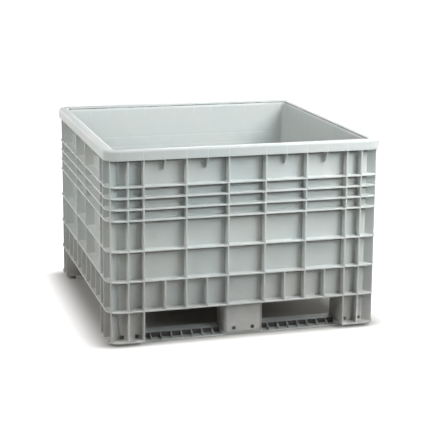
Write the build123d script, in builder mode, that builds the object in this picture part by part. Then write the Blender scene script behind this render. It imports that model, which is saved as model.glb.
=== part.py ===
from build123d import *
import os

# Rim
rim_side = 1165.0  # outside of the rim, alike along the front and along the sides
rim_height = 41.0
rim_corner = 60.0  # outside corner radius
rim_skin = 5.0  # thickness of the rim's skirt and top
rim_proud = 5.0  # how far the skirt stands out past the ribs
rim_outer_round = 8.0
rim_inner_round = 20.0

# Walls and the ribs outside them
wall = 5.0
wall_corner = 20.0  # outside corner radius
rib = 6.0
rib_depth = 39.0
gusset_drop = 46.0  # height of the tapered gussets under the rim
gusset_toe = 14.0  # how far a gusset still stands out at its lower end
gusset_round = 9.0

# Rows of panels, from the lowest rib up to the rim
tall_row = 125.0
tall_rows = 3
narrow_row = 45.5
narrow_rows = 3
top_row = 110.5

# Columns of panels, across the front and the back
centre_panel = 156.0
wide_panels = 2  # on each side of the centre panel
corner_panel = 63.0
end_inset = 47.5  # from the last rib to the outside of the wall round the corner
side_cells = 8  # equal cells on a side, between its two corner panels

# Floor
floor = 8.0
floor_rib = 5.0
floor_rib_depth = 20.0
floor_round = 8.0  # where the floor meets the walls inside

# Feet
foot_height = 128.0
foot_flange = 8.0
window = 14.5  # square holes that the runner's hooks snap into
window_lift = 1.0  # from the top of the flange to the window
centre_window_gap = 80.0  # between the middles of a foot's two windows
corner_window_gap = 61.5

# Runners
runner_seat = 16.0  # height of the runner under the feet
runner_top = 25.0  # height of the runner in the fork ways
runner_wall = 4.0
runner_lip = 5.5  # height of the front lip in the fork ways
ramp_depth = 44.5  # from the lip back to the full height
ramp_cells = 8  # in each fork way
stack_gap = 2.5  # runner to the rim inside, so that a stacked container nests
bay_gap = 2.0  # runner's raised part to the feet beside it
hook = 5.0  # thickness of a hook
hook_over = 5.0  # hook's height above its nose
nose_gap = 4.2  # nose to the window's edges
nose_short = 2.8  # nose to the outside of the wall

# Half widths, from the middle of the tub
rim_half = rim_side / 2
skirt_half = rim_half - rim_skin
rib_half = rim_half - rim_proud
wall_half = rib_half - rib_depth
wall_middle = wall_half - wall / 2
inside_half = wall_half - wall
skirt_corner = rim_corner - rim_skin
rib_corner = rim_corner - rim_proud
inside_corner = wall_corner - wall

# Heights, from the ground
window_middle = runner_seat + foot_flange + window_lift + window / 2
deck = runner_seat + foot_height
floor_bottom = deck + floor_rib_depth
floor_top = floor_bottom + floor
narrow_start = deck + tall_rows * tall_row
rib_levels = [deck + k * tall_row for k in range(tall_rows)]
rib_levels += [narrow_start + k * narrow_row for k in range(narrow_rows + 1)]
rim_bottom = rib_levels[-1] + top_row

# Places of the upright ribs, on one half of a face
centre_rib = centre_panel / 2
end_rib = wall_half - end_inset
corner_rib = end_rib - corner_panel
wide_panel = (corner_rib - centre_rib) / wide_panels
side_cell = 2 * corner_rib / side_cells
side_lines = [k * side_cell for k in range(side_cells // 2 + 1)]
front_ribs = [centre_rib + k * wide_panel for k in range(wide_panels + 1)] + [end_rib]
front_half_ribs = [centre_rib + (k + 0.5) * wide_panel for k in range(wide_panels)]
side_ribs = [side_lines[1], corner_rib, end_rib]
side_half_ribs = side_lines[:1] + side_lines[2:-1]

# Feet in plan
foot_inner = corner_rib - rib / 2
foot_side = wall_half - foot_inner
foot_middle = (wall_half + foot_inner) / 2
flange_side = rib_half - foot_inner
flange_middle = (rib_half + foot_inner) / 2
hole_side = inside_half - foot_inner - rib
hole_middle = (inside_half + foot_inner + rib) / 2
centre_foot_half = centre_rib + rib / 2

# Windows, two in each foot
foot_windows = ((-foot_middle, corner_window_gap), (0, centre_window_gap), (foot_middle, corner_window_gap))
window_places = [place + s * gap / 2 for place, gap in foot_windows for s in (-1, 1)]

# Runner in plan, with its stretches from left to right
runner_front = inside_half - stack_gap
runner_depth = runner_front - foot_inner
runner_middle = (runner_front + foot_inner) / 2
tray_front = runner_front - runner_wall
ramp_back = runner_front - ramp_depth
bay_start = centre_foot_half + bay_gap
bay_end = foot_inner - bay_gap
bay_middle = (bay_start + bay_end) / 2
bay_inside = bay_end - bay_start - 2 * runner_wall
bays = [(-bay_end, -bay_start), (bay_start, bay_end)]
seats = [(-runner_front, -bay_end), (-bay_start, bay_start), (bay_end, runner_front)]
ramp_cell = (corner_rib - centre_rib) / ramp_cells
ramp_ribs = [centre_rib + k * ramp_cell for k in range(1, ramp_cells)]

# Hooks, seen from the side
nose = window - 2 * nose_gap
nose_low = window_middle - nose / 2
nose_high = window_middle + nose / 2
nose_tip = wall_half - nose_short
hook_back = runner_front - hook
hook_top = nose_high + hook_over


def both_ways(places):
    return sorted({side * place for place in places for side in (-1, 1)})


def square_ring(outer, outer_corner, inner, inner_corner):
    RectangleRounded(2 * outer, 2 * outer, outer_corner)
    RectangleRounded(2 * inner, 2 * inner, inner_corner, mode=Mode.SUBTRACT)


def cross_bars(across, along, width, reach):
    with Locations(*[(x, 0) for x in both_ways(across)]):
        Rectangle(width, 2 * reach)
    with Locations(*[(0, y) for y in both_ways(along)]):
        Rectangle(2 * reach, width)


def corner_bars(reach, corner):
    for turn in (45, 135):
        Rectangle(3 * reach, rib, rotation=turn)
    RectangleRounded(2 * reach, 2 * reach, corner, mode=Mode.INTERSECT)


def repeat_at_corners():
    with Locations((hole_middle, -hole_middle)):
        RectangleRounded(hole_side, hole_side, inside_corner, mode=Mode.SUBTRACT)
    with Locations((flange_middle, -flange_middle)):
        Rectangle(flange_side, flange_side, mode=Mode.INTERSECT)
    mirror(about=Plane.YZ)
    mirror(about=Plane.XZ)


# Rim: a rounded ring, hollowed from below by a channel that the upright ribs run up into
with BuildPart() as channel:
    with BuildSketch(Plane.XY.offset(rim_bottom)):
        square_ring(skirt_half, skirt_corner, wall_half, wall_corner)
    extrude(amount=rim_height - rim_skin)
    channel_top = channel.faces().sort_by(Axis.Z)[-1]
    fillet(channel_top.outer_wire().edges(), max(rim_outer_round - rim_skin, rim_skin / 5))
    channel_top = channel.faces().sort_by(Axis.Z)[-1]
    fillet(channel_top.inner_wires()[0].edges(), max(rim_inner_round - wall, wall / 5))
    with BuildSketch(Plane.XY.offset(rim_bottom)):
        cross_bars(front_ribs + front_half_ribs, side_ribs + side_half_ribs, rib, rim_half)
        corner_bars(rim_half, rim_corner)
    extrude(amount=rim_height, mode=Mode.SUBTRACT)

with BuildPart() as rim:
    with BuildSketch(Plane.XY.offset(rim_bottom)):
        square_ring(rim_half, rim_corner, inside_half, inside_corner)
    extrude(amount=rim_height)
    rim_top = rim.faces().sort_by(Axis.Z)[-1]
    fillet(rim_top.outer_wire().edges(), rim_outer_round)
    rim_top = rim.faces().sort_by(Axis.Z)[-1]
    fillet(rim_top.inner_wires()[0].edges(), rim_inner_round)
    add(channel.part, mode=Mode.SUBTRACT)

# Walls with their upright and level ribs, and the gussets that end below the rim
with BuildPart() as walls:
    with BuildSketch(Plane.XY.offset(deck)):
        cross_bars(front_ribs, side_ribs, rib, rib_half)
        corner_bars(rib_half, rib_corner)
        square_ring(wall_half, wall_corner, inside_half, inside_corner)
    extrude(amount=rim_bottom - deck)
    with BuildSketch(Plane.XY.offset(deck)):
        cross_bars(front_half_ribs, side_half_ribs, rib, rib_half)
        RectangleRounded(2 * wall_middle, 2 * wall_middle, wall_corner, mode=Mode.SUBTRACT)
    extrude(amount=tall_row)
    with BuildSketch(*[Plane.XY.offset(level) for level in rib_levels]):
        square_ring(rib_half, rib_corner, wall_middle, wall_corner)
    extrude(amount=rib)

with BuildPart() as gussets:
    front_planes = [Plane.YZ.offset(x) for x in both_ways(front_half_ribs)]
    side_planes = [Plane.XZ.offset(y) for y in both_ways(side_half_ribs)]
    with BuildSketch(*front_planes, *side_planes):
        with BuildLine():
            FilletPolyline(
                (wall_middle, rim_bottom - gusset_drop),
                (wall_half + gusset_toe, rim_bottom - gusset_drop),
                (rib_half, rim_bottom),
                radius=gusset_round,
            )
            Polyline((rib_half, rim_bottom), (wall_middle, rim_bottom), (wall_middle, rim_bottom - gusset_drop))
        make_face()
        mirror(about=Plane.YZ)
    extrude(amount=rib / 2, both=True)

# Floor: a plate on a grid of ribs, rounded up into the walls inside
with BuildPart() as basin:
    with BuildSketch(Plane.XY.offset(floor_top)):
        RectangleRounded(2 * inside_half, 2 * inside_half, inside_corner)
    extrude(amount=tall_row)
    fillet(basin.faces().sort_by(Axis.Z)[0].edges(), floor_round)

with BuildPart() as deck_plate:
    with BuildSketch(Plane.XY.offset(floor_bottom)):
        RectangleRounded(2 * wall_middle, 2 * wall_middle, wall_corner)
    extrude(amount=floor + floor_round)
    add(basin.part, mode=Mode.SUBTRACT)
    with BuildSketch(Plane.XY.offset(deck)):
        cross_bars(side_lines, side_lines, floor_rib, wall_middle)
    extrude(amount=floor_rib_depth)

# Feet: ribbed square tubes on a flange at the corners, plain boxes in the middle, with windows
with BuildPart() as feet:
    with BuildSketch(Plane.XY.offset(runner_seat)):
        cross_bars([corner_rib, end_rib], [corner_rib, end_rib], rib, rib_half)
        corner_bars(rib_half, rib_corner)
        RectangleRounded(2 * wall_half, 2 * wall_half, wall_corner)
        repeat_at_corners()
    extrude(amount=foot_height)
    with BuildSketch(Plane.XY.offset(runner_seat)):
        RectangleRounded(2 * rib_half, 2 * rib_half, rib_corner)
        repeat_at_corners()
    extrude(amount=foot_flange)
    with BuildSketch(Plane.XY.offset(runner_seat)):
        with Locations((0, -foot_middle)):
            Rectangle(2 * centre_foot_half, foot_side)
        with Locations((0, -hole_middle)):
            Rectangle(2 * (centre_foot_half - rib), hole_side, mode=Mode.SUBTRACT)
        mirror(about=Plane.XZ)
    extrude(amount=foot_height)
    with BuildSketch(Plane.XZ.offset(wall_half), Plane.XZ.offset(-runner_front)):
        with Locations(*[(x, window_middle) for x in window_places]):
            Rectangle(window, window)
    extrude(amount=runner_front - wall_half, mode=Mode.SUBTRACT)

# Tub: walls, rim, floor and feet are one moulding
with BuildPart() as tub:
    add([walls.part, rim.part, gussets.part, deck_plate.part, feet.part])

# Front runner: three seats under the feet, with a ramped tray in each fork way between them
with BuildPart() as front_runner:
    with BuildSketch():
        for start, end in seats:
            with Locations(((start + end) / 2, -runner_middle)):
                Rectangle(end - start, runner_depth)
    extrude(amount=runner_seat)
    for start, end in bays:
        with BuildSketch(Plane.YZ.offset(start)):
            with BuildLine():
                Polyline(
                    (-runner_front, 0),
                    (-runner_front, runner_lip),
                    (-ramp_back, runner_top),
                    (-foot_inner, runner_top),
                    (-foot_inner, 0),
                    close=True,
                )
            make_face()
        extrude(amount=end - start)

    # Trays, open above, between the ramp ribs
    with BuildSketch(Plane.XY.offset(runner_wall)):
        with Locations((bay_middle, -(tray_front + ramp_back) / 2)):
            Rectangle(bay_inside, tray_front - ramp_back)
        with Locations(*[(x, -runner_middle) for x in ramp_ribs]):
            Rectangle(runner_wall, runner_depth, mode=Mode.SUBTRACT)
        mirror(about=Plane.YZ)
    extrude(amount=runner_top, mode=Mode.SUBTRACT)

    # Hollows, open below, behind the trays and in the seats
    hollow_front = ramp_back - runner_wall
    hollow_back = foot_inner + runner_wall
    with BuildSketch():
        with Locations((bay_middle, -(hollow_front + hollow_back) / 2)):
            Rectangle(bay_inside, hollow_front - hollow_back)
        with Locations(*[(x, -runner_middle) for x in ramp_ribs]):
            Rectangle(runner_wall, runner_depth, mode=Mode.SUBTRACT)
        mirror(about=Plane.YZ)
    extrude(amount=runner_top - runner_wall, mode=Mode.SUBTRACT)
    with BuildSketch():
        for start, end in seats:
            with Locations(((start + end) / 2, -runner_middle)):
                Rectangle(end - start - 2 * runner_wall, runner_depth - 2 * runner_wall)
                Rectangle(runner_wall, runner_depth, mode=Mode.SUBTRACT)
                Rectangle(end - start, runner_wall, mode=Mode.SUBTRACT)
    extrude(amount=runner_seat - runner_wall, mode=Mode.SUBTRACT)

    # Hooks that stand in the feet, with their noses in the windows
    with BuildSketch(*[Plane.YZ.offset(x) for x in window_places]):
        with BuildLine():
            Polyline(
                (-hook_back, runner_seat),
                (-runner_front, runner_seat),
                (-runner_front, nose_low),
                (-nose_tip, nose_low),
                (-nose_tip, window_middle),
                (-runner_front, nose_high),
                (-runner_front, hook_top),
                (-hook_back, hook_top),
                close=True,
            )
        make_face()
    extrude(amount=nose / 2, both=True)

# Rear runner: the same moulding on the other side
with BuildPart() as rear_runner:
    mirror(front_runner.part, about=Plane.XZ)

os.makedirs("parts", exist_ok=True)
for piece, name in ((tub, "tub"), (front_runner, "front_runner"), (rear_runner, "rear_runner")):
    piece.part.label = name
    export_step(piece.part, f"parts/{name}.step")
    print(name, len(piece.part.solids()), "solid,", round(piece.part.volume / 1e6, 3), "litres")
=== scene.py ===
# %% [markdown]
# # A plastic bulk container
# Orchards and vineyards carry their harvest in square boxes of this kind. The box is one large moulding:
# ribbed walls, a hollow rim, a floor and six feet. Two runners are clipped under the feet afterwards.
# The solid model already holds every wall and rib at its real size. This lesson gives it soft mould edges,
# the finish of the plastic, a studio with soft light, and a camera.

# %% Load the solid model
import math

import bmesh
import bpy
from mathutils import Matrix, Vector


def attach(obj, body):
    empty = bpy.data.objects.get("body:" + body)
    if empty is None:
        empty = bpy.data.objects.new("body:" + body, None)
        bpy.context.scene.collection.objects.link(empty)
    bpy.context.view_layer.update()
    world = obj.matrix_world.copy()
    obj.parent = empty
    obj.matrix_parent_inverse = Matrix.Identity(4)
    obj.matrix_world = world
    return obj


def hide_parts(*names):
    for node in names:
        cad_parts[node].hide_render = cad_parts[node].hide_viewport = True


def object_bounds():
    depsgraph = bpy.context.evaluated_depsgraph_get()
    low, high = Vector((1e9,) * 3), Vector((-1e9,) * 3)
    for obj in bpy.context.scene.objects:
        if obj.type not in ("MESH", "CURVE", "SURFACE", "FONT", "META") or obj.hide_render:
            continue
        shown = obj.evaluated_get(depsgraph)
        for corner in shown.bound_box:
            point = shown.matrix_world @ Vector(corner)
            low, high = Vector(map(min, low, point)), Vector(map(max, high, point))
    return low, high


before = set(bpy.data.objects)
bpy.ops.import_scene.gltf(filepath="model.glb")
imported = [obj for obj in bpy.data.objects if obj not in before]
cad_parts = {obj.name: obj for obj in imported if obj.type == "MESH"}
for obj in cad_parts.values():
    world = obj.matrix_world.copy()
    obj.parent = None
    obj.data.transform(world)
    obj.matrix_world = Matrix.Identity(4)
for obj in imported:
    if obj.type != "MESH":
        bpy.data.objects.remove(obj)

cad_low, cad_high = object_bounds()
print("solid model, metres:", [round(c, 4) for c in cad_high - cad_low], "nodes:", sorted(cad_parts))

# %% [markdown]
# ## Soft mould edges
# A steel mould has no knife edges. Each outer edge of the plastic is rounded by about a millimetre, and each
# inner corner has a small fillet that lets the plastic flow and the piece come out. These thin round strips
# catch the light, and without them a model looks cut from paper.
# They could be a Bevel modifier or a trick of the shader, but only real faces stay with the mesh when
# it leaves Blender. So a copy of each solid is merged, its flat triangles are joined into whole faces, and
# one bevel operator rounds the sharp edges.
# A few edges stay as they are. Inside the hollow rim the rounds are cut into pieces shorter than the bevel,
# the windows in the feet sit closer to their flange than two bevels would need, and below the floor a plain
# grid of ribs stands in for one that nobody sees.

# %% Find the edges to round
SHARP_ANGLE = math.radians(30)
FLAT_ANGLE = math.radians(0.5)
MERGE_GAP = 0.00001
RIM_HEIGHT = 0.041
WALL_MIDDLE = 0.536
FLOOR_PLATE = 0.1645
WINDOW_BACK = 0.530
WINDOW_LOW = 0.0235
WINDOW_HIGH = 0.0405
RIM_MARGIN = 0.0005

rim_bottom = cad_high.z - RIM_HEIGHT


def joined_copy(node_name):
    mould = bmesh.new()
    mould.from_mesh(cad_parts[node_name].data)
    bmesh.ops.remove_doubles(mould, verts=mould.verts, dist=MERGE_GAP)
    bmesh.ops.dissolve_limit(mould, verts=mould.verts, edges=mould.edges, angle_limit=FLAT_ANGLE)
    return mould


def stays_sharp(edge):
    places = [v.co for v in edge.verts]
    in_rim = all(p.z > rim_bottom + RIM_MARGIN for p in places)
    at_window = all(abs(p.y) > WINDOW_BACK and WINDOW_LOW < p.z < WINDOW_HIGH for p in places)
    under_floor = all(max(abs(p.x), abs(p.y)) < WALL_MIDDLE and p.z < FLOOR_PLATE for p in places)
    return in_rim or at_window or under_floor


def sharp_edges(mould):
    return [edge for edge in mould.edges if edge.calc_face_angle() > SHARP_ANGLE]


print("edges are rounded up to the rim, which starts at, metres:", round(rim_bottom, 4))

# %% Round them and make the pieces
EDGE_ROUND = 0.0014
ROUND_SEGMENTS = 2


def softened_piece(node_name, piece_name):
    mould = joined_copy(node_name)
    edges = sharp_edges(mould)
    if node_name == "tub":
        edges = [edge for edge in edges if not stays_sharp(edge)]
    bmesh.ops.bevel(
        mould, geom=edges, offset=EDGE_ROUND, offset_type="OFFSET", segments=ROUND_SEGMENTS,
        profile=0.5, affect="EDGES", material=-1, clamp_overlap=False, loop_slide=False,
    )
    for face in mould.faces:
        face.smooth = True
    mesh = bpy.data.meshes.new(piece_name)
    mould.to_mesh(mesh)
    mould.free()
    piece = bpy.data.objects.new(piece_name, mesh)
    bpy.context.scene.collection.objects.link(piece)
    flat_shading = piece.modifiers.new("flat_faces_stay_flat", "WEIGHTED_NORMAL")
    flat_shading.keep_sharp = True
    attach(piece, "root")
    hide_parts(node_name)
    print(piece_name, "edges rounded:", len(edges), "faces:", len(mesh.polygons))
    return piece


tub = softened_piece("tub", "tub_moulding")
front_runner = softened_piece("front_runner", "front_runner_moulding")
rear_runner = softened_piece("rear_runner", "rear_runner_moulding")

# %% [markdown]
# ## Tools for the materials
# Colours are written as hex values, as a picture shows them. Shaders add up light, so they need linear
# values, and one function does that. A second one adds a node, sets it and links it, so that each
# material below reads as a list of what it is made of.

# %% Colour and node helpers
def linear(hex_colour):
    channels = [int(hex_colour[i:i + 2], 16) / 255 for i in (1, 3, 5)]
    return tuple(c / 12.92 if c <= 0.04045 else ((c + 0.055) / 1.055) ** 2.4 for c in channels) + (1.0,)


def add(tree, kind, inputs=None, **settings):
    made = tree.nodes.new(kind)
    for name, value in settings.items():
        setattr(made, name, value)
    for key, value in (inputs or {}).items():
        if isinstance(value, bpy.types.NodeSocket):
            tree.links.new(value, made.inputs[key])
        else:
            made.inputs[key].default_value = value
    return made


print("mid grey in linear light:", [round(c, 3) for c in linear("#808080")])

# %% [markdown]
# ## Pigment
# The plastic is high-density polyethylene, coloured light grey in the melt. Pigment never spreads quite
# evenly: the colour drifts in slow clouds a hand or two across, and here and there a crumb of burnt plastic
# comes out as a dark speck.
# A painted image could show this, but it would stop at its own pixels. Noise that reads the Object
# coordinates has a real size in metres, needs no unwrapping, and stays in place when the model leaves
# Blender.

# %% Clouds and specks
CLOUD_SIZE = 0.28
# Noise seldom leaves the middle of its range, so this part of it is stretched to the whole.
NOISE_LOW = 0.3
NOISE_HIGH = 0.7
NOISE_DETAIL = 3.0
SPECK_PITCH = 0.10
SPECK_RADIUS = 0.0014
SPECK_SHADE = "#5E5C58"


def pigment(tree, place, cool_shade, warm_shade):
    noise = add(
        tree, "ShaderNodeTexNoise", {"Vector": place, "Scale": 1 / CLOUD_SIZE, "Detail": NOISE_DETAIL},
    )
    drift = add(
        tree, "ShaderNodeMapRange",
        {"Value": noise.outputs[0], "From Min": NOISE_LOW, "From Max": NOISE_HIGH},
    )
    clouds = add(
        tree, "ShaderNodeMix",
        {0: drift.outputs[0], 6: linear(cool_shade), 7: linear(warm_shade)}, data_type="RGBA",
    )
    crumbs = add(tree, "ShaderNodeTexVoronoi", {"Vector": place, "Scale": 1 / SPECK_PITCH})
    speck = add(
        tree, "ShaderNodeMath",
        {0: crumbs.outputs["Distance"], 1: SPECK_RADIUS / SPECK_PITCH}, operation="LESS_THAN",
    )
    specked = add(
        tree, "ShaderNodeMix",
        {0: speck.outputs[0], 6: clouds.outputs[2], 7: linear(SPECK_SHADE)}, data_type="RGBA",
    )
    return specked.outputs[2]


print("clouds across the front:", round((cad_high.x - cad_low.x) / CLOUD_SIZE, 1))

# %% [markdown]
# ## A point's place on the box
# Most of the finishes below follow the ribs or the height, so the shader has to know where a point is: how
# far from the middle, which way its face looks, and whether it is on the inner or the outer side of a wall.
# A second mesh or a painted mask could carry this. A few vector nodes do it more simply: the distance past
# a smaller square core is the same all along a wall, round its corners too.

# %% Measure places
# The core is given by half its side, and the two sides of a wall by how far past the core they lie.
WALL_CORE = 0.5185
INNER_SIDE = 0.015
OUTER_SIDE = 0.020
SIDE_ERROR = 0.0015


def place_on_box(tree, coordinates):
    distances = add(tree, "ShaderNodeVectorMath", {0: coordinates["Object"]}, operation="ABSOLUTE")
    axes = add(tree, "ShaderNodeSeparateXYZ", {0: distances.outputs[0]}).outputs
    directions = add(tree, "ShaderNodeVectorMath", {0: coordinates["Normal"]}, operation="ABSOLUTE")
    facing = add(tree, "ShaderNodeSeparateXYZ", {0: directions.outputs[0]}).outputs
    past_core = add(
        tree, "ShaderNodeVectorMath",
        {0: distances.outputs[0], 1: (WALL_CORE, WALL_CORE, cad_high.z)}, operation="SUBTRACT",
    )
    outside = add(tree, "ShaderNodeVectorMath", {0: past_core.outputs[0], 1: (0, 0, 0)}, operation="MAXIMUM")
    reach = add(tree, "ShaderNodeVectorMath", {0: outside.outputs[0]}, operation="LENGTH")
    skyward = add(tree, "ShaderNodeSeparateXYZ", {0: coordinates["Normal"]}).outputs["Z"]
    return {
        "across": axes["X"], "along": axes["Y"], "height": axes["Z"],
        "front": facing["Y"], "skyward": skyward, "reach": reach.outputs["Value"],
    }


def only_on_side(tree, spot, side, amount):
    on_side = add(tree, "ShaderNodeMath", {0: spot["reach"], 1: side, 2: SIDE_ERROR}, operation="COMPARE")
    return add(tree, "ShaderNodeMath", {0: on_side.outputs[0], 1: amount}, operation="MULTIPLY").outputs[0]


print("wall from side to side, metres:", round(OUTER_SIDE - INNER_SIDE, 4))

# %% [markdown]
# ## Sink marks
# Where a rib meets the back of a skin, the plastic is thicker, cools last and draws the surface in by a few
# hundredths of a millimetre. On the smooth side the dent catches the light as a faint lighter line that gives
# each rib away: upright lines on the face of the rim, level lines on the walls inside.
# Modelling them would cost many faces for something the fingers hardly feel. Instead a ping-pong curve
# measures how far a point is from the nearest rib, and the result dents the surface and also paints the
# colour
# lighter along each line: a painted highlight.

# %% Find the nearest rib
# Upright ribs are counted from the middle of a wall, level ribs from the ground.
FRONT_RIB = 0.078
FRONT_RIB_PITCH = 0.175
SIDE_RIB = 0.107
SIDE_RIB_PITCH = 0.321
TALL_ROW_FIRST = 0.147
TALL_ROW = 0.125
SHORT_ROW_FIRST = 0.522
SHORT_ROW = 0.0455
SHORT_ROWS_END = 0.67


def lines_along(tree, coordinate, first, pitch, width):
    from_first = add(tree, "ShaderNodeMath", {0: coordinate, 1: first}, operation="SUBTRACT")
    # This curve is 0 on each rib and half a pitch midway between two.
    away = add(tree, "ShaderNodeMath", {0: from_first.outputs[0], 1: pitch / 2}, operation="PINGPONG")
    near = add(
        tree, "ShaderNodeMapRange",
        {"Value": away.outputs[0], "From Max": width / 2, "To Min": 1.0, "To Max": 0.0},
        interpolation_type="SMOOTHSTEP",
    )
    return near.outputs[0]


def upright_lines(tree, spot, front_first, front_pitch, side_first, side_pitch, width):
    front = lines_along(tree, spot["across"], front_first, front_pitch, width)
    side = lines_along(tree, spot["along"], side_first, side_pitch, width)
    return add(tree, "ShaderNodeMix", {0: spot["front"], 2: side, 3: front}).outputs[0]


def level_lines(tree, spot, shift, width):
    tall = lines_along(tree, spot["height"], TALL_ROW_FIRST + shift, TALL_ROW, width)
    short = lines_along(tree, spot["height"], SHORT_ROW_FIRST + shift, SHORT_ROW, width)
    upper = add(tree, "ShaderNodeMath", {0: spot["height"], 1: SHORT_ROW_FIRST}, operation="GREATER_THAN")
    chosen = add(tree, "ShaderNodeMix", {0: upper.outputs[0], 2: tall, 3: short})
    below = add(tree, "ShaderNodeMath", {0: spot["height"], 1: SHORT_ROWS_END}, operation="LESS_THAN")
    kept = add(tree, "ShaderNodeMath", {0: chosen.outputs[0], 1: below.outputs[0]}, operation="MULTIPLY")
    return kept.outputs[0]


print("level ribs at the short pitch:", 1 + int((SHORT_ROWS_END - SHORT_ROW_FIRST) / SHORT_ROW))

# %% Faint lines behind the ribs
SINK_WIDTH = 0.010


def sink_marks(tree, spot):
    # The rim is held by a rib or a gusset at every half pitch along the front and every third along a side.
    upright = upright_lines(
        tree, spot, FRONT_RIB, FRONT_RIB_PITCH / 2, SIDE_RIB, SIDE_RIB_PITCH / 3, SINK_WIDTH,
    )
    in_rim = add(tree, "ShaderNodeMath", {0: spot["height"], 1: rim_bottom}, operation="GREATER_THAN")
    on_rim = add(tree, "ShaderNodeMath", {0: upright, 1: in_rim.outputs[0]}, operation="MULTIPLY")
    inside = only_on_side(tree, spot, INNER_SIDE, level_lines(tree, spot, 0.0, SINK_WIDTH))
    return add(tree, "ShaderNodeMath", {0: on_rim.outputs[0], 1: inside}, operation="MAXIMUM").outputs[0]


print("sink marks on the rim's front, each half:", round(2 * (cad_high.x - FRONT_RIB) / FRONT_RIB_PITCH))

# %% [markdown]
# ## Painted shade
# The colour is painted darker in two ways. A thin dark line is painted in the strip right under each level
# rib and under the rim, and in the corners beside the upright ribs, where the ribs keep light off the panels:
# painted shade that draws the outline of each panel. Lower down, the colour is painted darker and warmer
# towards the ground, so that the feet and the lower rows are a little darker and warmer than the rim: painted
# shade as well.
# An Ambient Occlusion node would find the corners by itself, for many more rays and some noise. The places of
# the ribs are known, so the same ping-pong curves draw the painted shade lines, and slow noise breaks them
# up.
# With the cover of the lines and the tub's shade at the ground both at 0, no shade is painted on the tub.

# %% Painted shade in corners and under ribs
# The painted shade line is a finger wide, in the strip that the rib shades. Its middle is 13.5 mm below the
# rib's.
UNDER_RIB = -0.0135
SHADE_LINE_WIDTH = 0.018
RIB = 0.006
SHADE_LINE_BESIDE = 0.008
UPRIGHT_SHARE = 0.7
SHADE_PATCH = 0.06
FULL_PATCH = 0.6
THIN_COVER = 0.6


# Slow noise that breaks up the painted shade, both the dark lines and the darker colour towards the ground.
def shade_patches(tree, place):
    patches = add(
        tree, "ShaderNodeTexNoise", {"Vector": place, "Scale": 1 / SHADE_PATCH, "Detail": NOISE_DETAIL},
    )
    cover = add(
        tree, "ShaderNodeMapRange",
        {"Value": patches.outputs[0], "From Min": NOISE_LOW, "From Max": FULL_PATCH, "To Min": THIN_COVER},
    )
    return cover.outputs[0]


# Mask of the painted shade lines: under the level ribs and the rim, and beside the upright ribs, on the outer
# side only.
def painted_corner_shade(tree, spot):
    under_ribs = level_lines(tree, spot, UNDER_RIB, SHADE_LINE_WIDTH)
    shade_line_bottom = rim_bottom - SHADE_LINE_WIDTH
    under_rim = add(
        tree, "ShaderNodeMapRange",
        {"Value": spot["height"], "From Min": shade_line_bottom, "From Max": shade_line_bottom + SHADE_LINE_WIDTH / 2},
        interpolation_type="SMOOTHSTEP",
    )
    under = add(tree, "ShaderNodeMath", {0: under_ribs, 1: under_rim.outputs[0]}, operation="MAXIMUM")
    beside = upright_lines(
        tree, spot, FRONT_RIB, FRONT_RIB_PITCH, SIDE_RIB, SIDE_RIB_PITCH, RIB + 2 * SHADE_LINE_BESIDE,
    )
    thinner = add(tree, "ShaderNodeMath", {0: beside, 1: UPRIGHT_SHARE}, operation="MULTIPLY")
    lines = add(tree, "ShaderNodeMath", {0: under.outputs[0], 1: thinner.outputs[0]}, operation="MAXIMUM")
    return only_on_side(tree, spot, OUTER_SIDE, lines.outputs[0])


# Widths of the painted shade line under a rib and beside it.
print("grime under a rib, metres:", SHADE_LINE_WIDTH, "beside it:", SHADE_LINE_BESIDE)

# %% Painted shade towards the ground
# Painted shade: the height up to which the colour darkens towards the ground, the cover and colour of the
# dark corner lines, and the colour of the darker low zone.
LOW_SHADE_TOP = 0.36
SHADE_LINE_COVER = 0.9
SHADE_LINE_COLOUR = "#423C39"
LOW_SHADE_COLOUR = "#8C7B74"


# Paints shade into the colour: darker and warmer towards the ground, and dark lines in the corners.
def paint_shade(tree, place, spot, colour_so_far, shade_at_ground):
    cover = shade_patches(tree, place)
    low = add(
        tree, "ShaderNodeMapRange",
        {"Value": spot["height"], "From Max": LOW_SHADE_TOP, "To Min": shade_at_ground, "To Max": 0.0},
    )
    low_shade = add(tree, "ShaderNodeMath", {0: low.outputs[0], 1: cover}, operation="MULTIPLY")
    darker_low = add(
        tree, "ShaderNodeMix", {0: low_shade.outputs[0], 6: colour_so_far, 7: linear(LOW_SHADE_COLOUR)}, data_type="RGBA",
    )
    lines = add(tree, "ShaderNodeMath", {0: painted_corner_shade(tree, spot), 1: cover}, operation="MULTIPLY")
    thinned = add(tree, "ShaderNodeMath", {0: lines.outputs[0], 1: SHADE_LINE_COVER}, operation="MULTIPLY")
    shade_lined = add(
        tree, "ShaderNodeMix",
        {0: thinned.outputs[0], 6: darker_low.outputs[2], 7: linear(SHADE_LINE_COLOUR)}, data_type="RGBA",
    )
    return shade_lined.outputs[2]


# Height up to which the painted shade towards the ground thins out.
print("dust thins out up to, metres:", LOW_SHADE_TOP)

# %% [markdown]
# ## Lighter rib tops
# The tops of the level ribs are painted paler than the panels between them: a painted highlight where the
# light from above falls on them.
# They could get a material of their own, with a seam along each rib. Here the Normal coordinate tells which
# faces look up, and the reach keeps the inside of the box out of it.

# %% Painted highlight on the rib tops
SKYWARD = 0.7
# Share and colour of the painted highlight on the rib tops.
RIB_TOP_HIGHLIGHT = 0.6
RIB_TOP_HIGHLIGHT_COLOUR = "#E6E9E7"


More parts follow.
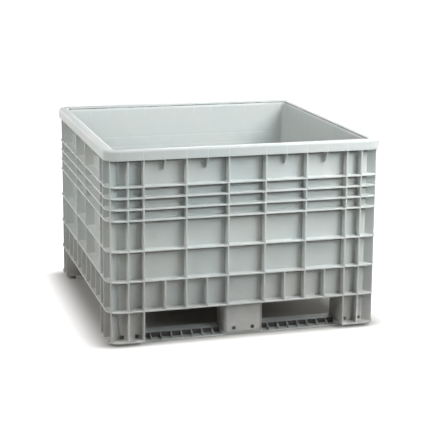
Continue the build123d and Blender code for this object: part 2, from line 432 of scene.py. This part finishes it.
# Paints the upward faces of the outer ribs paler: a painted highlight.
def highlighted(tree, spot, before_highlight):
    looks_up = add(tree, "ShaderNodeMath", {0: spot["skyward"], 1: SKYWARD}, operation="GREATER_THAN")
    outer_face = add(
        tree, "ShaderNodeMath", {0: spot["reach"], 1: OUTER_SIDE + SIDE_ERROR}, operation="GREATER_THAN",
    )
    below_rim = add(tree, "ShaderNodeMath", {0: spot["height"], 1: rim_bottom}, operation="LESS_THAN")
    rib = add(tree, "ShaderNodeMath", {0: outer_face.outputs[0], 1: below_rim.outputs[0]}, operation="MULTIPLY")
    rib_top = add(tree, "ShaderNodeMath", {0: looks_up.outputs[0], 1: rib.outputs[0]}, operation="MULTIPLY")
    share = add(tree, "ShaderNodeMath", {0: rib_top.outputs[0], 1: RIB_TOP_HIGHLIGHT}, operation="MULTIPLY")
    paler = add(
        tree, "ShaderNodeMix",
        {0: share.outputs[0], 6: before_highlight, 7: linear(RIB_TOP_HIGHLIGHT_COLOUR)}, data_type="RGBA",
    )
    return paler.outputs[2]


# Share of the painted highlight on the rib tops.
print("share of the bleached shade on the rib tops:", RIB_TOP_HIGHLIGHT)

# %% [markdown]
# ## The moulded surface
# The plastic copies the mould: a fine eroded grain gives it a satin look. It also keeps what happened on the
# way out: the walls slide along the steel, which leaves faint upright drag marks in the gloss, and the panels
# draw in by about a millimetre as they cool, so that a reflection on them is never quite straight.
# Waves and grain could be displaced geometry, but they are far finer than the mesh. Bump nodes bend the
# light in the same way at no cost, and the drag marks need only a change in roughness.

# %% Waves and grain
WAVE_SIZE = 0.12
WAVE_DEPTH = 0.003
WAVE_DETAIL = 1.0
# Real sink marks are about 0.04 mm deep. They are drawn ten times as deep, so that the render can show them.
SINK_DEPTH = 0.0004
# The real grain is about 0.2 mm wide. It is drawn eight times as coarse, so that the render can show it.
GRAIN_SIZE = 0.0016
GRAIN_DEPTH = 0.00005
GRAIN_DETAIL = 2.0


def dented(tree, place, sink):
    waves = add(
        tree, "ShaderNodeTexNoise", {"Vector": place, "Scale": 1 / WAVE_SIZE, "Detail": WAVE_DETAIL},
    )
    grain = add(
        tree, "ShaderNodeTexNoise", {"Vector": place, "Scale": 1 / GRAIN_SIZE, "Detail": GRAIN_DETAIL},
    )
    warped = add(tree, "ShaderNodeBump", {"Height": waves.outputs[0], "Distance": WAVE_DEPTH})
    sunk = add(
        tree, "ShaderNodeBump",
        {"Height": sink, "Distance": SINK_DEPTH, "Normal": warped.outputs[0]}, invert=True,
    )
    grained = add(
        tree, "ShaderNodeBump",
        {"Height": grain.outputs[0], "Distance": GRAIN_DEPTH, "Normal": sunk.outputs[0]},
    )
    return grained.outputs[0]


print("waves across a panel:", round(FRONT_RIB_PITCH / WAVE_SIZE, 1))

# %% Drag marks in the gloss
DRAG_WIDTH = 0.012
DRAG_LENGTH = 0.30
ROUGH_LOW = 0.40
ROUGH_HIGH = 0.52


def drag_gloss(tree, place):
    pulled = add(
        tree, "ShaderNodeMapping",
        {"Vector": place, "Scale": (1 / DRAG_WIDTH, 1 / DRAG_WIDTH, 1 / DRAG_LENGTH)},
    )
    streaks = add(
        tree, "ShaderNodeTexNoise", {"Vector": pulled.outputs[0], "Scale": 1.0, "Detail": NOISE_DETAIL},
    )
    rough = add(
        tree, "ShaderNodeMapRange",
        {
            "Value": streaks.outputs[0], "From Min": NOISE_LOW, "From Max": NOISE_HIGH,
            "To Min": ROUGH_LOW, "To Max": ROUGH_HIGH,
        },
    )
    return rough.outputs[0]


print("drag marks across a panel:", round(FRONT_RIB_PITCH / DRAG_WIDTH, 1))

# %% [markdown]
# ## Polyethylene of the tub
# All of that meets in one Principled shader. Polyethylene has an index of refraction of 1.54, a little more
# than the shader's default, and no metal in it. The eye gets a soft, slightly waxy highlight along the
# rounded edges and a quiet grey in between.
# A subsurface layer could let some light through, but a wall with this much pigment is nearly opaque, so
# plain reflection is enough and renders with less noise.

# %% Injection-moulded polyethylene, light grey
POLYETHYLENE_IOR = 1.54
# Below: the share of the painted highlight along the sink lines, the two pigment shades, the colour of that
# painted highlight, and the share of the painted shade at the ground.
SINK_LIGHTENING = 0.25
TUB_COOL = "#C6CDCB"
TUB_WARM = "#CED0CC"
TUB_SINK_HIGHLIGHT = "#DEE1DF"
TUB_LOW_SHADE = 0.5


def moulded_polyethylene(name, cool_shade, warm_shade, sink_highlight_colour, shade_at_ground):
    material = bpy.data.materials.new(name)
    material.use_nodes = True
    tree = material.node_tree
    shader = tree.nodes["Principled BSDF"]
    coordinates = add(tree, "ShaderNodeTexCoord").outputs
    place = coordinates["Object"]
    spot = place_on_box(tree, coordinates)
    sink = sink_marks(tree, spot)
    # The sink lines are also painted lighter in the colour: a painted highlight where the dent catches the
    # light.
    painted_sink_light = add(tree, "ShaderNodeMath", {0: sink, 1: SINK_LIGHTENING}, operation="MULTIPLY")
    colour_so_far = add(
        tree, "ShaderNodeMix",
        {0: painted_sink_light.outputs[0], 6: pigment(tree, place, cool_shade, warm_shade), 7: linear(sink_highlight_colour)},
        data_type="RGBA",
    )
    # Then the painted highlight on the rib tops and the painted shade are laid over the colour.
    rib_tops_highlighted = highlighted(tree, spot, colour_so_far.outputs[2])
    shaded_colour = paint_shade(tree, place, spot, rib_tops_highlighted, shade_at_ground)
    tree.links.new(shaded_colour, shader.inputs["Base Color"])
    tree.links.new(drag_gloss(tree, place), shader.inputs["Roughness"])
    tree.links.new(dented(tree, place, sink), shader.inputs["Normal"])
    shader.inputs["IOR"].default_value = POLYETHYLENE_IOR
    return material


tub_plastic = moulded_polyethylene(
    "polyethylene_moulded_light_grey", TUB_COOL, TUB_WARM, TUB_SINK_HIGHLIGHT, TUB_LOW_SHADE,
)
tub.data.materials.append(tub_plastic)
print("tub material nodes:", len(tub_plastic.node_tree.nodes))

# %% [markdown]
# ## Polyethylene of the runners
# The runners are shot in another mould from the same kind of plastic. They slide over concrete and truck
# beds, so their lowest centimetre is scuffed along its length. The backs of the small cells in their ramps
# are painted dark, and so are the hooks in the windows of the feet: painted shade where the ramps and the
# feet keep the light out, while the ribs and the floor of the cells keep their grey. The eye gets the grey of
# the tub again, duller along the ground, with dark backs behind the ribs of each ramp.
# Rather than a second recipe, the tub's material is made again in the runners' shades, and two layers are
# slipped in front of its colour: stretched noise that fades out upwards, and painted shade that fades out
# towards the lip.

# %% Scuffs along the bottom
SCUFF_LENGTH = 0.16
SCUFF_WIDTH = 0.004
SCUFF_HEIGHT = 0.012
SCUFF_DETAIL = 4.0


def scuffs(tree, place, spot):
    drawn_out = add(
        tree, "ShaderNodeMapping",
        {"Vector": place, "Scale": (1 / SCUFF_LENGTH, 1 / SCUFF_WIDTH, 1 / SCUFF_WIDTH)},
    )
    streaks = add(
        tree, "ShaderNodeTexNoise", {"Vector": drawn_out.outputs[0], "Scale": 1.0, "Detail": SCUFF_DETAIL},
    )
    low = add(
        tree, "ShaderNodeMapRange",
        {"Value": spot["height"], "From Max": SCUFF_HEIGHT, "To Min": 1.0, "To Max": 0.0},
    )
    worn = add(tree, "ShaderNodeMath", {0: streaks.outputs[0], 1: low.outputs[0]}, operation="MULTIPLY")
    return worn.outputs[0]


print("scuffs end above the ground at, metres:", SCUFF_HEIGHT)

# %% Painted shade in the cells and on the hooks
CELL_BACK = 0.484
CELL_FRONT = 0.522
CELL_SHADE_FADE = 0.018
FACES_OUT = 0.5
HOOK_FACE = 0.532
HOOK_SHADE = 0.7


# Mask of the painted shade on the backs of the ramp cells, fading out towards the lip, and on the hooks in
# the windows.
def painted_cell_shade(tree, spot):
    fade = add(
        tree, "ShaderNodeMapRange",
        {"Value": spot["along"], "From Min": CELL_FRONT, "From Max": CELL_FRONT - CELL_SHADE_FADE},
    )
    past_back = add(tree, "ShaderNodeMath", {0: spot["along"], 1: CELL_BACK}, operation="GREATER_THAN")
    in_cell = add(tree, "ShaderNodeMath", {0: fade.outputs[0], 1: past_back.outputs[0]}, operation="MULTIPLY")
    back = add(tree, "ShaderNodeMath", {0: spot["front"], 1: FACES_OUT}, operation="GREATER_THAN")
    on_cell_back = add(tree, "ShaderNodeMath", {0: in_cell.outputs[0], 1: back.outputs[0]}, operation="MULTIPLY")
    on_hook = add(tree, "ShaderNodeMath", {0: spot["along"], 1: HOOK_FACE}, operation="GREATER_THAN")
    in_window = add(tree, "ShaderNodeMath", {0: on_hook.outputs[0], 1: HOOK_SHADE}, operation="MULTIPLY")
    cell_shade = add(tree, "ShaderNodeMath", {0: on_cell_back.outputs[0], 1: in_window.outputs[0]}, operation="MAXIMUM")
    return cell_shade.outputs[0]


print("depth of a cell, metres:", round(CELL_FRONT - CELL_BACK, 4))

# %% Injection-moulded polyethylene, runner grey with scuffs and painted shade
# Below: the colour of the scuffs, the colour of the painted shade in the cells, the two pigment shades, the
# colour of the painted highlight along the sink lines, and the share of the painted shade at the ground.
SCUFF_SHADE = "#8C8A86"
CELL_SHADE_COLOUR = "#2E2B29"
RUNNER_COOL = "#C6CDCB"
RUNNER_WARM = "#CBCECB"
RUNNER_SINK_HIGHLIGHT = "#D8DCDA"
RUNNER_LOW_SHADE = 0.15


# Adds the scuffs, which are wear, and the painted shade in the cells and on the hooks.
def add_scuffs_and_shade(material):
    tree = material.node_tree
    shader = tree.nodes["Principled BSDF"]
    colour_so_far = shader.inputs["Base Color"].links[0].from_socket
    coordinates = add(tree, "ShaderNodeTexCoord").outputs
    spot = place_on_box(tree, coordinates)
    scuffed = add(
        tree, "ShaderNodeMix",
        {0: scuffs(tree, coordinates["Object"], spot), 6: colour_so_far, 7: linear(SCUFF_SHADE)}, data_type="RGBA",
    )
    cell_shaded = add(
        tree, "ShaderNodeMix",
        {0: painted_cell_shade(tree, spot), 6: scuffed.outputs[2], 7: linear(CELL_SHADE_COLOUR)}, data_type="RGBA",
    )
    tree.links.new(cell_shaded.outputs[2], shader.inputs["Base Color"])


runner_plastic = moulded_polyethylene(
    "polyethylene_moulded_runner_grey", RUNNER_COOL, RUNNER_WARM, RUNNER_SINK_HIGHLIGHT, RUNNER_LOW_SHADE,
)
add_scuffs_and_shade(runner_plastic)
front_runner.data.materials.append(runner_plastic)
rear_runner.data.materials.append(runner_plastic)
print("runner material nodes:", len(runner_plastic.node_tree.nodes))

# %% [markdown]
# ## The floor
# A product is often photographed on a light table: a pale sheet that glows, so that the background burns
# out to white and only the shadow next to the object is left.
# A brighter lamp would bleach the object too. So the glow is shown only to rays that come from the camera,
# or that the camera sees mirrored or through glass. All other rays meet the plain pale sheet.
# Next to the container the glow fades out, and there the sheet shows the container's own shadow, and around
# the
# feet a painted shadow too: where the glow fades, the sheet is greyer even where light falls on it.

# %% Where the sheet glows
FOOT_HALF = 0.52
SIDE_RISE = 0.21
FRONT_RISE = 0.12


def seen_by_camera(tree):
    rays = add(tree, "ShaderNodeLightPath").outputs
    straight = add(
        tree, "ShaderNodeMath", {0: rays["Is Camera Ray"], 1: rays["Is Glossy Ray"]}, operation="MAXIMUM",
    )
    seen = add(
        tree, "ShaderNodeMath", {0: straight.outputs[0], 1: rays["Is Transmission Ray"]}, operation="MAXIMUM",
    )
    return seen.outputs[0]


# Besides letting the real shadow show, the fade of the glow near the feet paints a soft shadow around the
# container.
def glow_away_from_feet(tree):
    place = add(tree, "ShaderNodeTexCoord").outputs["Object"]
    distances = add(tree, "ShaderNodeVectorMath", {0: place}, operation="ABSOLUTE")
    past_feet = add(
        tree, "ShaderNodeVectorMath",
        {0: distances.outputs[0], 1: (FOOT_HALF, FOOT_HALF, 0.0)}, operation="SUBTRACT",
    )
    outside = add(tree, "ShaderNodeVectorMath", {0: past_feet.outputs[0], 1: (0, 0, 0)}, operation="MAXIMUM")
    shares = add(
        tree, "ShaderNodeVectorMath",
        {0: outside.outputs[0], 1: (SIDE_RISE, FRONT_RISE, 1.0)}, operation="DIVIDE",
    )
    gap = add(tree, "ShaderNodeVectorMath", {0: shares.outputs[0]}, operation="LENGTH")
    rise = add(tree, "ShaderNodeMapRange", {"Value": gap.outputs["Value"]}, interpolation_type="SMOOTHSTEP")
    return rise.outputs[0]


print("glow is full from the feet at, metres:", SIDE_RISE, "at the sides,", FRONT_RISE, "in front")

# %% Light table, a frosted acrylic sheet
FLOOR_SIDE = 60.0
PALE_SHEET = "#BAB7B3"
WHITE = "#FFFFFF"
# Frosting scatters all light, so the eye gets an even white sheet, without a mirror image of the lamps in it.
SHEET_ROUGHNESS = 0.9
SHEET_SHINE = 0.0

floor_mesh = bpy.data.meshes.new("light_table")
sheet = bmesh.new()
bmesh.ops.create_grid(sheet, x_segments=1, y_segments=1, size=FLOOR_SIDE / 2)
sheet.to_mesh(floor_mesh)
sheet.free()
floor = bpy.data.objects.new("light_table", floor_mesh)
bpy.context.scene.collection.objects.link(floor)

floor_sheet = bpy.data.materials.new("acrylic_sheet_frosted_white")
floor_sheet.use_nodes = True
tree = floor_sheet.node_tree
seen = seen_by_camera(tree)
glow = add(tree, "ShaderNodeMath", {0: glow_away_from_feet(tree), 1: seen}, operation="MULTIPLY")
sheet_shader = tree.nodes["Principled BSDF"]
sheet_shader.inputs["Base Color"].default_value = linear(PALE_SHEET)
tree.links.new(glow.outputs[0], sheet_shader.inputs["Emission Strength"])
sheet_shader.inputs["Emission Color"].default_value = linear(WHITE)
sheet_shader.inputs["Roughness"].default_value = SHEET_ROUGHNESS
sheet_shader.inputs["Specular IOR Level"].default_value = SHEET_SHINE
floor.data.materials.append(floor_sheet)
print("floor side, metres:", FLOOR_SIDE)

# %% [markdown]
# ## The room
# Beyond the floor the camera would look into the dark. A white world closes the picture, again at full
# strength only for what the camera sees. For all other rays it is a weak, even light, as from the walls of
# a studio. A curved backdrop could do the same, but a world has no edge and is white from every side.

# %% White room
ROOM_LIGHT = 0.03
ROOM_WHITE = 1.0

room = bpy.data.worlds.new("studio_room")
bpy.context.scene.world = room
room.use_nodes = True
tree = room.node_tree
strength = add(
    tree, "ShaderNodeMapRange",
    {"Value": seen_by_camera(tree), "To Min": ROOM_LIGHT, "To Max": ROOM_WHITE},
)
background = tree.nodes["Background"]
tree.links.new(strength.outputs[0], background.inputs["Strength"])
background.inputs["Color"].default_value = linear(WHITE)
print("room light on the object:", ROOM_LIGHT)

# %% [markdown]
# ## Soft lights
# The lights are softboxes, which in Blender are area lamps. A large one stands high on the left and fills the
# left face and the front. Two gridded ones throw a narrow beam: one hangs at the front right and is aimed at
# the rim, so the box is brightest at the top, and one hangs above and shines into it. A small one close by
# sets bright lines along the level ribs, a low one on the right shines under the box, and three behind serve
# the back.
# A picture of a studio as the world could light the box too, but no lamp in it could be moved by itself.
# Here one function hangs a lamp and aims it, so that a light is one line.

# %% Hang the softboxes
OPEN_BEAM = 180
GRIDDED_BEAM = 60
COOL_WHITE = "#F2FAFF"


def softbox(name, place, target, size, watts, colour, beam=OPEN_BEAM):
    lamp = bpy.data.lights.new(name, "AREA")
    lamp.shape = "RECTANGLE"
    lamp.size, lamp.size_y = size
    lamp.energy = watts
    lamp.spread = math.radians(beam)
    lamp.color = linear(colour)[:3]
    holder = bpy.data.objects.new(name, lamp)
    holder.location = place
    holder.rotation_euler = (Vector(target) - Vector(place)).to_track_quat("-Z", "Y").to_euler()
    bpy.context.scene.collection.objects.link(holder)
    print(name, "watts:", watts)


container_middle = (0, 0, 0.4)
above_rim = (0.35, -0.5, 1.0)
in_the_box = (-0.1, 0.5, 0.6)
right_opening = (0.35, -0.25, 0.0)
softbox("high_left", (-3.0, -1.35, 2.55), container_middle, (2.0, 2.0), 70, WHITE)
softbox("gridded_front", (1.7, -3.2, 2.2), above_rim, (1.6, 1.2), 9, COOL_WHITE, GRIDDED_BEAM)
softbox("gridded_top", (1.3, -1.0, 3.2), in_the_box, (1.4, 1.4), 5.5, COOL_WHITE, GRIDDED_BEAM)
softbox("near_right", (1.2, -1.35, 1.7), container_middle, (1.0, 0.6), 18, WHITE)
softbox("low_right", (2.1, 1.6, 0.85), right_opening, (1.2, 0.5), 26, WHITE)
softbox("high_rear", (0.0, 2.4, 3.6), container_middle, (2.4, 1.6), 6, WHITE)
softbox("rear_right", (1.6, 3.8, 1.8), container_middle, (2.0, 2.0), 45, WHITE)
softbox("rear_left", (-1.6, 4.0, 1.2), container_middle, (2.0, 2.0), 30, WHITE)

# %% [markdown]
# ## The camera
# The picture is taken from the front left, a little above the rim, with a long lens, so that the far side is
# hardly smaller than the near one. A camera could be aimed by a constraint, but three turns say exactly how
# it stands: yaw about the upright axis, pitch down, and a roll of half a degree. A small shift of the lens
# moves the picture up on the frame and keeps the uprights nearly straight.

# %% Place the camera
CAMERA_PLACE = (-1.5064, -5.2935, 1.7293)
CAMERA_YAW = math.radians(16.18)
CAMERA_PITCH = math.radians(12.172)
CAMERA_ROLL = math.radians(0.478)
LENS_MM = 105.477
LENS_SHIFT = -0.08
FAR_CLIP = 200

lens = bpy.data.cameras.new("camera")
lens.lens = LENS_MM
lens.shift_y = LENS_SHIFT
lens.clip_end = FAR_CLIP
camera = bpy.data.objects.new("camera", lens)
camera.matrix_world = (
    Matrix.Translation(CAMERA_PLACE)
    @ Matrix.Rotation(-CAMERA_YAW, 4, "Z")
    @ Matrix.Rotation(math.pi / 2 - CAMERA_PITCH, 4, "X")
    @ Matrix.Rotation(CAMERA_ROLL, 4, "Z")
)
bpy.context.scene.collection.objects.link(camera)
bpy.context.scene.camera = camera
bpy.context.scene.view_settings.view_transform = "Standard"
print("camera distance, metres:", round((Vector(CAMERA_PLACE) - Vector(container_middle)).length, 2))
